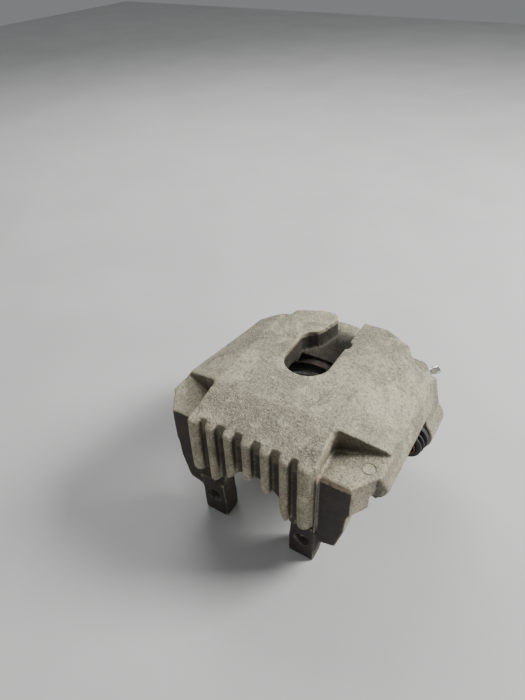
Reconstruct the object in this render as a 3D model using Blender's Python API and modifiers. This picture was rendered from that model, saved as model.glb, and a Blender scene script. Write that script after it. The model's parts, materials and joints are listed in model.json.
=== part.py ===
"""Single-piston floating brake caliper, as a bare housing assembly.

+X runs along the disc's edge to the right, +Y inboard along the piston, and +Z up, away from the
wheel's centre. The origin is the middle of the caliper's length and width, on the surface that it
rests on. Everything is in metres.
"""

import math

import bmesh
import bpy
from mathutils import Matrix, Vector

MM = 0.001
DEGREE = math.pi / 180
GAP = 0.3 * MM

# The disc and the piston, which set all the rest.
PISTON_RADIUS = 28.5 * MM
DISC_RADIUS = 156 * MM
DISC_CLEARANCE = 5 * MM
EFFECTIVE_RADIUS = 128 * MM
PISTON_Z = 55 * MM
DISC_Y = -22.5 * MM

BRIDGE_THICKNESS = 16 * MM
WHEEL_Z = PISTON_Z - EFFECTIVE_RADIUS
BRIDGE_INNER_RADIUS = DISC_RADIUS + DISC_CLEARANCE
BRIDGE_TOP_Z = WHEEL_Z + BRIDGE_INNER_RADIUS + BRIDGE_THICKNESS

# Along the piston, from the fingers to the back of the cylinder, measured from the disc's middle.
RIB_FRONT_Y = DISC_Y - 51 * MM
LUG_FRONT_Y = DISC_Y - 44 * MM
FINGER_FRONT_Y = DISC_Y - 42 * MM
FINGER_BACK_Y = DISC_Y - 30 * MM
CREASE_Y = DISC_Y - 20 * MM
SHOULDER_BACK_Y = DISC_Y - 9.5 * MM
MOUTH_Y = DISC_Y + 40 * MM
FLANK_BACK_Y = DISC_Y + 77 * MM
LOBE_FRONT_Y = DISC_Y + 43 * MM
LOBE_BACK_Y = DISC_Y + 81 * MM
CYLINDER_BACK_Y = DISC_Y + 96 * MM

# Across the bridge.
SECTION_HALF_WIDTH = 43 * MM
FLAT_HALF_WIDTH = 40.5 * MM
FLANK_HALF_WIDTH = 78 * MM
SHOULDER_HALF_WIDTH = 61.8 * MM
SHOULDER_Z = 85.8 * MM
FLANK_FOOT_Z = 66 * MM
BLOCK_FOOT_Z = 60.5 * MM

# The ribbed front.
RIB_COUNT = 7
RIB_CENTRE_X = -1.6 * MM
RIB_PITCH = 12.7 * MM
RIB_WIDTH = 7 * MM
END_RIB_WIDTH = 10 * MM
RIB_ROOT_Y = DISC_Y - 41 * MM
SECTION_FRONT_Y = DISC_Y - 45.5 * MM
SLOPE_DROP = 9.5 * MM

# The fingers, the arch between them and their lugs.
ARCH_HALF_WIDTH = 25.5 * MM
ARCH_SPRING_Z = 30 * MM
ARCH_RISE = 32 * MM
FINGER_INNER_X = 24.3 * MM
LUG_OUTER_X = 42.5 * MM
LUG_TOP_Z = 33 * MM
LUG_HOLE_X = 34.3 * MM
LUG_HOLE_Z = 18 * MM
LUG_HOLE_RADIUS = 5.2 * MM

# The window over the disc and the valley that runs inboard from it.
WINDOW_RADIUS = 15.7 * MM
WINDOW_CENTRE_Y = DISC_Y + 25.7 * MM
WINDOW_BACK_Y = DISC_Y + 46 * MM
VALLEY_STEP_Y = DISC_Y + 56 * MM
VALLEY_LEFT_X = -5.5 * MM
VALLEY_END_X = -1.2 * MM
VALLEY_FLOOR_Z = 89.5 * MM
LOBE_TOP_Z = BRIDGE_TOP_Z + 0.5 * MM
LOBE_FOOT_Z = 84 * MM
RIGHT_LOBE_X = 52 * MM
LEFT_LOBE_X = 33 * MM
LEFT_FLANK_TURN = 8 * DEGREE

# The spot faces that give a spanner room over the guide pins.
SPOT_FACE_X = 64.5 * MM
SPOT_FACE_Y = DISC_Y + 76.5 * MM
SPOT_FACE_Z = 92 * MM
SPOT_FACE_RADIUS = 13.5 * MM

# The cylinder.
CYLINDER_RADIUS = 36 * MM
BORE_RADIUS = PISTON_RADIUS + GAP
BORE_END_Y = DISC_Y + 84 * MM
BOOT_SEAT_RADIUS = 32.6 * MM
BOOT_SEAT_DEPTH = 6 * MM
SEAL_Y = DISC_Y + 51 * MM
SEAL_WIDTH = 3.2 * MM
SEAL_OUTER_RADIUS = 31.6 * MM

# The piston.
PISTON_FACE_Y = DISC_Y + 36.5 * MM
PISTON_LENGTH = 44 * MM
PISTON_WALL = 4.2 * MM
PISTON_CROWN = 6 * MM
PISTON_GROOVE_DEPTH = 1.6 * MM
PISTON_GROOVE_WIDTH = 3 * MM

# The guide ears, with their bushes, sleeves and pins.
GUIDE_X = 69 * MM
GUIDE_Z = 48 * MM
EAR_RADIUS = 14.5 * MM
EAR_FRONT_Y = DISC_Y + 50 * MM
BUSH_RADIUS = 10.5 * MM
BUSH_FLANGE_RADIUS = 12.5 * MM
BUSH_FRONT_Y = DISC_Y + 37 * MM
BUSH_BACK_Y = DISC_Y + 81 * MM
SLEEVE_RADIUS = 7.2 * MM
PIN_RADIUS = 5.8 * MM
PIN_FRONT_Y = DISC_Y + 37.5 * MM
PIN_SHOULDER_Y = DISC_Y + 52 * MM
PIN_BACK_Y = DISC_Y + 90 * MM
PIN_THREAD_RADIUS = 4.4 * MM
PIN_SOCKET_RADIUS = 3.9 * MM
PIN_SOCKET_DEPTH = 7 * MM

# The bleed screw, which leans outwards and up from the back of the right arm.
BLEED_SEAT = Vector((58 * MM, DISC_Y + 82 * MM, 71.5 * MM))
BLEED_DIRECTION = Vector((0.78, 0.53, 0.33)).normalized()
BLEED_BOSS_RADIUS = 7.5 * MM
BLEED_HOLE_RADIUS = 3.6 * MM
BLEED_HOLE_DEPTH = 12 * MM
BLEED_SHANK_RADIUS = 3.2 * MM
BLEED_HEX_RADIUS = 5.2 * MM
BLEED_TIP_RADIUS = 3.1 * MM

# The hose port and the foot that it stands on.
PORT_Z = 15 * MM
PORT_RADIUS = 4.6 * MM
PORT_DEPTH = 14 * MM
FOOT_HALF_WIDTH = 13 * MM
FOOT_FRONT_Y = DISC_Y + 70 * MM

ROUND_STEPS = 64
SMALL_STEPS = 28
OVERSHOOT = 3 * MM
# Shapes that are joined are set apart by this much where their faces would otherwise coincide.
STEP = 0.4 * MM


def clear_scene():
    for thing in list(bpy.data.objects):
        bpy.data.objects.remove(thing, do_unlink=True)


def new_collection(name, hidden=False):
    collection = bpy.data.collections.new(name)
    bpy.context.scene.collection.children.link(collection)
    collection.hide_render = hidden
    return collection


def new_material(name, colour, roughness, metallic):
    material = bpy.data.materials.new(name)
    material.use_nodes = True
    shader = material.node_tree.nodes["Principled BSDF"]
    shader.inputs["Base Color"].default_value = (*colour, 1.0)
    shader.inputs["Roughness"].default_value = roughness
    shader.inputs["Metallic"].default_value = metallic
    material.diffuse_color = (*colour, 1.0)
    return material


def helper(piece):
    """Marks an object as a tool for a Boolean, which isn't a sub-part."""
    piece.hide_render = True
    piece.display_type = "WIRE"
    return piece


def mesh_object(name, mesh, collection):
    piece = bpy.data.objects.new(name, mesh)
    collection.objects.link(piece)
    return piece


def swung(piece, pivot, angle):
    """Turns a shape about an upright axis through the pivot."""
    centre = Matrix.Translation(Vector(pivot))
    piece.matrix_world = centre @ Matrix.Rotation(angle, 4, "Z") @ centre.inverted() @ piece.matrix_world
    return piece


def evaluated_copy(source, name, collection):
    """A mesh object that takes the place of a curve or of an object with modifiers."""
    bpy.context.view_layer.update()
    graph = bpy.context.evaluated_depsgraph_get()
    mesh = bpy.data.meshes.new_from_object(source.evaluated_get(graph))
    work = bmesh.new()
    work.from_mesh(mesh)
    bmesh.ops.remove_doubles(work, verts=work.verts, dist=1e-6)
    bmesh.ops.recalc_face_normals(work, faces=work.faces)
    work.to_mesh(mesh)
    work.free()
    copy = mesh_object(name, mesh, collection)
    copy.matrix_world = source.matrix_world.copy()
    bpy.data.objects.remove(source, do_unlink=True)
    return copy


# An outline's own x and y are turned onto these axes of the world, and its thickness onto the third.
OUTLINE_TURNS = {
    "XZ": Matrix.Rotation(math.radians(90), 4, "X"),
    "XY": Matrix.Identity(4),
    "YZ": Matrix.Rotation(math.radians(90), 4, "Z") @ Matrix.Rotation(math.radians(90), 4, "X"),
}
OUTLINE_NORMALS = {"XZ": Vector((0, 1, 0)), "XY": Vector((0, 0, 1)), "YZ": Vector((1, 0, 0))}


def prism(name, plane, outline, low, high, collection):
    """A flat outline in the given plane, thickened from low to high along that plane's normal."""
    curve = bpy.data.curves.new(name + "_outline", "CURVE")
    curve.dimensions = "2D"
    curve.fill_mode = "BOTH"
    curve.extrude = (high - low) / 2
    spline = curve.splines.new("POLY")
    spline.points.add(len(outline) - 1)
    for point, (x, y) in zip(spline.points, outline):
        point.co = (x, y, 0, 1)
    spline.use_cyclic_u = True
    shape = bpy.data.objects.new(name + "_outline", curve)
    collection.objects.link(shape)
    middle = OUTLINE_NORMALS[plane] * ((low + high) / 2)
    shape.matrix_world = Matrix.Translation(middle) @ OUTLINE_TURNS[plane]
    return evaluated_copy(shape, name, collection)


def along(direction, place):
    """The matrix that puts an object's own z axis along a direction, at a place."""
    turn = Vector((0, 0, 1)).rotation_difference(Vector(direction)).to_matrix().to_4x4()
    return Matrix.Translation(Vector(place)) @ turn


def turned(name, profile, place, direction, collection, steps=SMALL_STEPS):
    """A profile of (radius, height) points turned about the given direction through place.

    The profile runs down the outer side, from the greatest height to the least.
    """
    mesh = bpy.data.meshes.new(name)
    points = [(radius, 0, height) for radius, height in profile]
    edges = [(i, i + 1) for i in range(len(points) - 1)]
    if profile[0][0] > 0:
        edges.append((len(points) - 1, 0))
    mesh.from_pydata(points, edges, [])
    piece = mesh_object(name, mesh, collection)
    piece.matrix_world = along(direction, place)
    screw = piece.modifiers.new("Turn", "SCREW")
    screw.axis = "Z"
    screw.steps = steps
    screw.render_steps = steps
    screw.use_merge_vertices = True
    screw.merge_threshold = 1e-6
    screw.use_smooth_shade = True
    return piece


def rod(name, start, end, radius, collection, steps=SMALL_STEPS):
    """A plain round bar between two points."""
    start, end = Vector(start), Vector(end)
    length = (end - start).length
    work = bmesh.new()
    bmesh.ops.create_cone(
        work, cap_ends=True, segments=steps, radius1=radius, radius2=radius, depth=length
    )
    mesh = bpy.data.meshes.new(name)
    work.to_mesh(mesh)
    work.free()
    piece = mesh_object(name, mesh, collection)
    piece.matrix_world = along(end - start, (start + end) / 2)
    return piece


def boolean(piece, tool, operation):
    modifier = piece.modifiers.new(f"{operation.title()} {tool.name}", "BOOLEAN")
    modifier.operation = operation
    modifier.object = helper(tool)
    modifier.solver = "EXACT"


def mirrored(outline):
    """An outline reflected in x = 0, still running the same way round."""
    return [(-x, y) for x, y in reversed(outline)]


def arc(centre, radius, first, last, steps):
    """Points on a circle from one angle to another, in degrees."""
    angles = [math.radians(first + (last - first) * i / steps) for i in range(steps + 1)]
    return [(centre[0] + radius * math.cos(a), centre[1] + radius * math.sin(a)) for a in angles]


def shade(piece, material):
    piece.data.materials.clear()
    piece.data.materials.append(material)
    if hasattr(piece.data, "shade_smooth"):
        piece.data.shade_smooth()
        piece.data.set_sharp_from_angle(angle=math.radians(35))


def bridge_outline():
    """The bridge across the disc: flat on top, round underneath, with steep flanks."""
    right_side = [
        (FLAT_HALF_WIDTH, BRIDGE_TOP_Z),
        (70 * MM, 89.9 * MM),
        (72.5 * MM, 87.6 * MM),
        (74.5 * MM, 83 * MM),
        (FLANK_HALF_WIDTH, 70 * MM),
        (77 * MM, 67 * MM),
        (74.5 * MM, FLANK_FOOT_Z),
        (71.5 * MM, 67 * MM),
    ]
    reach = math.degrees(math.asin(69.5 * MM / BRIDGE_INNER_RADIUS))
    underside = arc((0, WHEEL_Z), BRIDGE_INNER_RADIUS, 90 - reach, 90 + reach, 24)
    return right_side + underside + mirrored(right_side)


def finger_plate_outline():
    right_side = [
        (LUG_OUTER_X - 0.6 * MM, 0.6 * MM),
        (45.5 * MM, 21 * MM),
        (55.5 * MM, 24 * MM),
        (60.5 * MM, 43 * MM),
        (61.5 * MM, BLOCK_FOOT_Z - 1.5 * MM),
        (SHOULDER_HALF_WIDTH + 8 * MM, BLOCK_FOOT_Z),
        (SHOULDER_HALF_WIDTH + 8 * MM, 84.5 * MM),
        (20 * MM, 96 * MM),
    ]
    return right_side + mirrored(right_side)


def front_section_outline():
    half_width = SECTION_HALF_WIDTH + STEP
    top = BRIDGE_TOP_Z - 1 * MM
    foot = 34 * MM
    return [(-half_width, foot), (half_width, foot), (half_width, top), (-half_width, top)]


def arch_z(x):
    """The height of the arch over a given x."""
    across = min(abs(x) / ARCH_HALF_WIDTH, 1)
    return ARCH_SPRING_Z + ARCH_RISE * math.sqrt(1 - across**2)


def arch_outline():
    """The gap between the fingers, run out below the lugs."""
    top = [(x, arch_z(x)) for x, _ in arc((0, 0), ARCH_HALF_WIDTH, 0, 180, 20)]
    foot = -OVERSHOOT
    return [(FINGER_INNER_X, foot), (FINGER_INNER_X, 16 * MM)] + top + [
        (-FINGER_INNER_X, 16 * MM),
        (-FINGER_INNER_X, foot),
    ]


def rib_outline(width):
    """A rib seen from above: a round nose and a root buried in the section behind it."""
    nose = arc((0, RIB_FRONT_Y + width / 2), width / 2, 180, 360, 8)
    return nose + [(width / 2, RIB_ROOT_Y), (-width / 2, RIB_ROOT_Y)]


def rib_foot_z(x, is_outer):
    """A rib ends just above the arch, and the outer ones run down onto the lugs."""
    if is_outer:
        return LUG_TOP_Z - 1 * MM
    reach = min(abs(x) + RIB_WIDTH / 4, ARCH_HALF_WIDTH - 1 * MM)
    return arch_z(reach) + 0.7 * MM


def arms_outline():
    """The inboard wall that carries the guide ears, round the cylinder."""
    ear = arc((GUIDE_X, GUIDE_Z), EAR_RADIUS, 50, -100, 12)
    right_side = [(34 * MM, 30 * MM)] + list(reversed(ear)) + [
        (76.5 * MM, 66 * MM),
        (73 * MM, 80.5 * MM),
        (40 * MM, 86.5 * MM),
    ]
    return right_side + mirrored(right_side)


def lobe_outline(corner_x):
    """The raised area on the right of the valley, seen from above, out to a given x."""
    inner_x = 4 * MM
    return [
        (inner_x, LOBE_FRONT_Y),
        (corner_x - 6 * MM, LOBE_FRONT_Y),
        (corner_x, LOBE_FRONT_Y + 8 * MM),
        (corner_x, LOBE_BACK_Y - 10 * MM),
        (corner_x - 9 * MM, LOBE_BACK_Y - 5 * MM),
        (corner_x - 18 * MM, LOBE_BACK_Y),
        (inner_x, LOBE_BACK_Y),
    ]


def window_outline():
    """The keyhole window: a round outboard end and straight sides."""
    nose = arc((0, WINDOW_CENTRE_Y), WINDOW_RADIUS, 180, 360, 20)
    return nose + [(WINDOW_RADIUS, WINDOW_BACK_Y), (-WINDOW_RADIUS, WINDOW_BACK_Y)]


def valley_outline():
    """The valley over the cylinder's roof, which narrows on its left and is open inboard."""
    front = WINDOW_BACK_Y - 4 * MM
    back = CYLINDER_BACK_Y + OVERSHOOT
    edge = WINDOW_RADIUS + STEP
    return [
        (-edge, front),
        (edge, front),
        (edge, back),
        (VALLEY_END_X, back),
        (VALLEY_END_X, VALLEY_STEP_Y + 22 * MM),
        (VALLEY_LEFT_X, VALLEY_STEP_Y + 4 * MM),
        (VALLEY_LEFT_X - 2 * MM, VALLEY_STEP_Y),
        (-edge + 2.5 * MM, VALLEY_STEP_Y - 5 * MM),
        (-edge, VALLEY_STEP_Y - 9 * MM),
    ]


def shoulder_cut_outline():
    """What is cut from above the right shoulder, seen from above."""
    front = RIB_FRONT_Y - OVERSHOOT
    side = FLANK_HALF_WIDTH + OVERSHOOT
    return [
        (SECTION_HALF_WIDTH, front),
        (side, front),
        (side, SHOULDER_BACK_Y + 2 * MM),
        (72 * MM, SHOULDER_BACK_Y),
        (FLAT_HALF_WIDTH + 3 * MM, CREASE_Y + 0.5 * MM),
        (FLAT_HALF_WIDTH + 1 * MM, CREASE_Y - 2 * MM),
    ]


def corner_cut_outline():
    """The corner taken off the front of the right shoulder, seen from above."""
    return [
        (SHOULDER_HALF_WIDTH, FINGER_FRONT_Y - OVERSHOOT),
        (SHOULDER_HALF_WIDTH, FINGER_FRONT_Y),
        (71 * MM, DISC_Y - 28.3 * MM),
        (FLANK_HALF_WIDTH + 2 * MM, CREASE_Y + 2 * MM),
        (FLANK_HALF_WIDTH + 8 * MM, FINGER_FRONT_Y - OVERSHOOT),
    ]


def right_rear_outline():
    """The corner taken off the back of the bridge on the right, seen from above."""
    return [
        (54 * MM, DISC_Y + 84 * MM),
        (58.5 * MM, DISC_Y + 79.5 * MM),
        (65.5 * MM, DISC_Y + 73.7 * MM),
        (71.5 * MM, DISC_Y + 66.7 * MM),
        (76 * MM, DISC_Y + 61.5 * MM),
        (92 * MM, DISC_Y + 50 * MM),
        (92 * MM, DISC_Y + 95 * MM),
        (54 * MM, DISC_Y + 95 * MM),
    ]


def left_rear_outline():
    """The larger corner taken off on the left, which leaves the left lobe standing out."""
    return [
        (-92 * MM, DISC_Y + 50 * MM),
        (-60 * MM, DISC_Y + 56 * MM),
        (-50 * MM, DISC_Y + 60.5 * MM),
        (-40 * MM, DISC_Y + 63.3 * MM),
        (-34.5 * MM, DISC_Y + 66 * MM),
        (-33.6 * MM, DISC_Y + 71.4 * MM),
        (-24.4 * MM, DISC_Y + 76.6 * MM),
        (-18 * MM, DISC_Y + 79 * MM),
        (-18 * MM, DISC_Y + 95 * MM),
        (-92 * MM, DISC_Y + 95 * MM),
    ]


def left_flank_outline():
    """What lies outside the left flank, which turns inwards towards the back."""
    foot = FLANK_FOOT_Z - 1.5 * MM
    return [
        (-66 * MM, BRIDGE_TOP_Z + 2 * MM),
        (-66 * MM, 92.3 * MM),
        (-70.3 * MM, 90.2 * MM),
        (-72.8 * MM, 87.8 * MM),
        (-74.8 * MM, 83.1 * MM),
        (-FLANK_HALF_WIDTH - 0.3 * MM, 70 * MM),
        (-77.4 * MM, foot),
        (-110 * MM, foot),
        (-110 * MM, BRIDGE_TOP_Z + 2 * MM),
    ]


def slope_cut_outline():
    """The wedge above the sloping front, seen from the side."""
    fall = SLOPE_DROP / (CREASE_Y - RIB_FRONT_Y)
    back = 12 * MM
    front = RIB_FRONT_Y - OVERSHOOT
    return [
        (CREASE_Y, BRIDGE_TOP_Z),
        (front, BRIDGE_TOP_Z - (CREASE_Y - front) * fall),
        (front, BRIDGE_TOP_Z + back),
        (CREASE_Y, BRIDGE_TOP_Z + back),
    ]


def foot_outline():
    """The hose port's boss under the cylinder, which the caliper stands on."""
    return [
        (-FOOT_HALF_WIDTH, 0),
        (FOOT_HALF_WIDTH, 0),
        (FOOT_HALF_WIDTH + 2 * MM, 8 * MM),
        (FOOT_HALF_WIDTH + 8 * MM, 30 * MM),
        (-FOOT_HALF_WIDTH - 8 * MM, 30 * MM),
        (-FOOT_HALF_WIDTH - 2 * MM, 8 * MM),
    ]


def both_sides(name, plane, outline, low, high, collection):
    """The same prism on the right and, reflected, on the left."""
    return [
        prism(name + "_right", plane, outline, low, high, collection),
        prism(name + "_left", plane, mirrored(outline), low, high, collection),
    ]


def bridge_cuts(tools):
    """The rear corners, which come off before the arms, the lobes and the cylinder are joined on."""
    low, high = 60 * MM, BRIDGE_TOP_Z + OVERSHOOT
    return [
        prism("right_rear_cut", "XY", right_rear_outline(), low, high, tools),
        prism("left_rear_cut", "XY", left_rear_outline(), low, high, tools),
    ]


def housing_additions(tools):
    inboard = Vector((0, 1, 0))
    shapes = [
        prism("finger_plate", "XZ", finger_plate_outline(), FINGER_FRONT_Y, FINGER_BACK_Y, tools),
        prism(
            "front_section",
            "XZ",
            front_section_outline(),
            SECTION_FRONT_Y,
            FINGER_BACK_Y - 2 * MM,
            tools,
        ),
        prism("arms", "XZ", arms_outline(), EAR_FRONT_Y, FLANK_BACK_Y, tools),
        prism("foot", "XZ", foot_outline(), FOOT_FRONT_Y, CYLINDER_BACK_Y - 2 * MM, tools),
        rod("bleed_boss", BLEED_SEAT - 26 * MM * BLEED_DIRECTION, BLEED_SEAT, BLEED_BOSS_RADIUS, tools),
    ]
    lug = [
        (FINGER_INNER_X - 0.5 * MM, 0),
        (LUG_OUTER_X, 0),
        (LUG_OUTER_X + 0.5 * MM, LUG_TOP_Z - 4 * MM),
        (LUG_OUTER_X - 3 * MM, LUG_TOP_Z),
        (FINGER_INNER_X + 2 * MM, LUG_TOP_Z),
        (FINGER_INNER_X - 0.5 * MM, LUG_TOP_Z - 4 * MM),
    ]
    shapes += both_sides("lug", "XZ", lug, LUG_FRONT_Y, FINGER_BACK_Y - 3 * MM, tools)
    for i in range(RIB_COUNT):
        x = RIB_CENTRE_X + (i - (RIB_COUNT - 1) / 2) * RIB_PITCH
        is_outer = i in (0, RIB_COUNT - 1)
        width = END_RIB_WIDTH if is_outer else RIB_WIDTH
        outline = [(x + dx, y) for dx, y in rib_outline(width)]
        foot = rib_foot_z(x, is_outer)
        shapes.append(prism(f"rib_{i}", "XY", outline, foot, BRIDGE_TOP_Z - 0.5 * MM, tools))
    right_lobe = lobe_outline(RIGHT_LOBE_X)
    left_lobe = mirrored(lobe_outline(LEFT_LOBE_X))
    for side, outline in (("right", right_lobe), ("left", left_lobe)):
        shapes.append(prism(f"lobe_{side}", "XY", outline, LOBE_FOOT_Z, LOBE_TOP_Z, tools))
    body = [
        (0, CYLINDER_BACK_Y),
        (CYLINDER_RADIUS - 5 * MM, CYLINDER_BACK_Y),
        (CYLINDER_RADIUS, CYLINDER_BACK_Y - 5 * MM),
        (CYLINDER_RADIUS, MOUTH_Y),
        (0, MOUTH_Y),
    ]
    cylinder = turned("cylinder", body, (0, 0, PISTON_Z), inboard, tools, ROUND_STEPS)
    # Half a step round its axis, so that no edge of it runs along an edge of the bore.
    cylinder.matrix_world @= Matrix.Rotation(math.pi / ROUND_STEPS, 4, "Z")
    shapes.append(evaluated_copy(cylinder, "cylinder_body", tools))
    return shapes


def housing_cuts(tools):
    inboard = Vector((0, 1, 0))
    high = BRIDGE_TOP_Z + 20 * MM
    far = CYLINDER_BACK_Y + OVERSHOOT
    slope_reach = SECTION_HALF_WIDTH + 1 * MM
    tools_made = [
        prism("slope_cut", "YZ", slope_cut_outline(), -slope_reach, slope_reach, tools),
        prism("arch_cut", "XZ", arch_outline(), RIB_FRONT_Y - OVERSHOOT, FINGER_BACK_Y + OVERSHOOT, tools),
        prism("window_cut", "XY", window_outline(), 60 * MM, high, tools),
        prism("valley_cut", "XY", valley_outline(), VALLEY_FLOOR_Z, high, tools),
    ]
    flank = prism(
        "left_flank_cut", "XZ", left_flank_outline(), DISC_Y - 12 * MM, CYLINDER_BACK_Y, tools
    )
    tools_made.append(swung(flank, (-71 * MM, SHOULDER_BACK_Y, 0), -LEFT_FLANK_TURN))
    tools_made += both_sides("shoulder_cut", "XY", shoulder_cut_outline(), SHOULDER_Z, high, tools)
    tools_made += both_sides("corner_cut", "XY", corner_cut_outline(), 30 * MM, high, tools)
    bore = [
        (0, BORE_END_Y),
        (BORE_RADIUS, BORE_END_Y),
        (BORE_RADIUS, SEAL_Y + SEAL_WIDTH / 2),
        (SEAL_OUTER_RADIUS + GAP, SEAL_Y + SEAL_WIDTH / 2),
        (SEAL_OUTER_RADIUS + GAP, SEAL_Y - SEAL_WIDTH / 2),
        (BORE_RADIUS, SEAL_Y - SEAL_WIDTH / 2),
        (BORE_RADIUS, MOUTH_Y + BOOT_SEAT_DEPTH),
        (BOOT_SEAT_RADIUS + GAP, MOUTH_Y + BOOT_SEAT_DEPTH),
        (BOOT_SEAT_RADIUS + GAP, MOUTH_Y - OVERSHOOT),
        (0, MOUTH_Y - OVERSHOOT),
    ]
    bore_cut = turned("bore_cut", bore, (0, 0, PISTON_Z), inboard, tools, ROUND_STEPS)
    tools_made.append(evaluated_copy(bore_cut, "bore_tool", tools))
    for sign, side in ((1, "right"), (-1, "left")):
        x = sign * GUIDE_X
        seat = BUSH_RADIUS + GAP
        front, back = (x, EAR_FRONT_Y - OVERSHOOT, GUIDE_Z), (x, FLANK_BACK_Y + OVERSHOOT, GUIDE_Z)
        tools_made.append(rod(f"guide_cut_{side}", front, back, seat, tools))
        hole_x = sign * LUG_HOLE_X
        front = (hole_x, LUG_FRONT_Y - OVERSHOOT, LUG_HOLE_Z)
        back = (hole_x, FINGER_BACK_Y + OVERSHOOT, LUG_HOLE_Z)
        tools_made.append(rod(f"lug_hole_{side}", front, back, LUG_HOLE_RADIUS, tools))
        spot_x = sign * SPOT_FACE_X
        floor, top = (spot_x, SPOT_FACE_Y, SPOT_FACE_Z), (spot_x, SPOT_FACE_Y, high)
        tools_made.append(rod(f"spot_face_{side}", floor, top, SPOT_FACE_RADIUS, tools))
    port_end = (0, CYLINDER_BACK_Y - 2 * MM - PORT_DEPTH, PORT_Z)
    tools_made.append(rod("port_cut", port_end, (0, far, PORT_Z), PORT_RADIUS, tools))
    deep = BLEED_SEAT - BLEED_HOLE_DEPTH * BLEED_DIRECTION
    out = BLEED_SEAT + OVERSHOOT * BLEED_DIRECTION
    tools_made.append(rod("bleed_cut", deep, out, BLEED_HOLE_RADIUS, tools))
    return tools_made


def make_housing(parts, tools, material):
    blank = prism(
        "bridge", "XZ", bridge_outline(), FINGER_FRONT_Y + STEP, FLANK_BACK_Y - STEP, parts
    )
    blank.name = "caliper_housing"
    for shape in bridge_cuts(tools):
        boolean(blank, shape, "DIFFERENCE")
    for shape in housing_additions(tools):
        boolean(blank, shape, "UNION")
    for shape in housing_cuts(tools):
        boolean(blank, shape, "DIFFERENCE")
    shade(blank, material)
    return blank


def make_piston(parts, material):
    inside = PISTON_RADIUS - PISTON_WALL
    groove = PISTON_RADIUS - PISTON_GROOVE_DEPTH
    near = 2.5 * MM
    profile = [
        (0, PISTON_LENGTH),
        (PISTON_RADIUS - 1.5 * MM, PISTON_LENGTH),
        (PISTON_RADIUS, PISTON_LENGTH - 1.5 * MM),
        (PISTON_RADIUS, near + PISTON_GROOVE_WIDTH),
        (groove, near + PISTON_GROOVE_WIDTH),
        (groove, near),
        (PISTON_RADIUS, near),
        (PISTON_RADIUS, 1 * MM),
        (PISTON_RADIUS - 1 * MM, 0),
        (inside + 0.8 * MM, 0),
        (inside, 0.8 * MM),
        (inside, PISTON_LENGTH - PISTON_CROWN - 2 * MM),
        (inside - 2 * MM, PISTON_LENGTH - PISTON_CROWN),
        (0, PISTON_LENGTH - PISTON_CROWN),
    ]
    place = (0, PISTON_FACE_Y, PISTON_Z)
    piston = turned("piston", profile, place, (0, 1, 0), parts, ROUND_STEPS)
    shade(piston, material)


def make_seal(parts, material):
    inner = PISTON_RADIUS + GAP
    half = SEAL_WIDTH / 2 - GAP
    profile = [(SEAL_OUTER_RADIUS, half), (SEAL_OUTER_RADIUS, -half), (inner, -half), (inner, half)]
    seal = turned("piston_seal", profile, (0, SEAL_Y, PISTON_Z), (0, 1, 0), parts, ROUND_STEPS)
    shade(seal, material)


def make_boot(parts, material):
    """The boot at rest, folded once between its bead in the mouth and its lip on the piston."""
    inner = PISTON_RADIUS + GAP
    wall = 1.2 * MM
    bead = BOOT_SEAT_RADIUS - 1.6 * MM
    depth = BOOT_SEAT_DEPTH - GAP
    profile = [
        (bead, depth),
        (bead, -0.5 * MM),
        (bead + 0.6 * MM, -2.6 * MM),
        (bead, -3.2 * MM),
        (bead - wall, -2.4 * MM),
        (inner, -2.4 * MM),
        (inner, -0.8 * MM),
        (bead - wall, -0.4 * MM),
        (bead - wall, depth),
    ]
    boot = turned("dust_boot", profile, (0, MOUTH_Y, PISTON_Z), (0, 1, 0), parts, ROUND_STEPS)
    shade(boot, material)


def make_boot_ring(parts, material):
    inner = BOOT_SEAT_RADIUS - 1.6 * MM + GAP
    depth = BOOT_SEAT_DEPTH - GAP
    profile = [
        (BOOT_SEAT_RADIUS, depth),
        (BOOT_SEAT_RADIUS, 0),
        (inner, 0),
        (inner, depth),
    ]
    place = (0, MOUTH_Y, PISTON_Z)
    ring = turned("boot_retaining_ring", profile, place, (0, 1, 0), parts, ROUND_STEPS)
    shade(ring, material)


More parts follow.
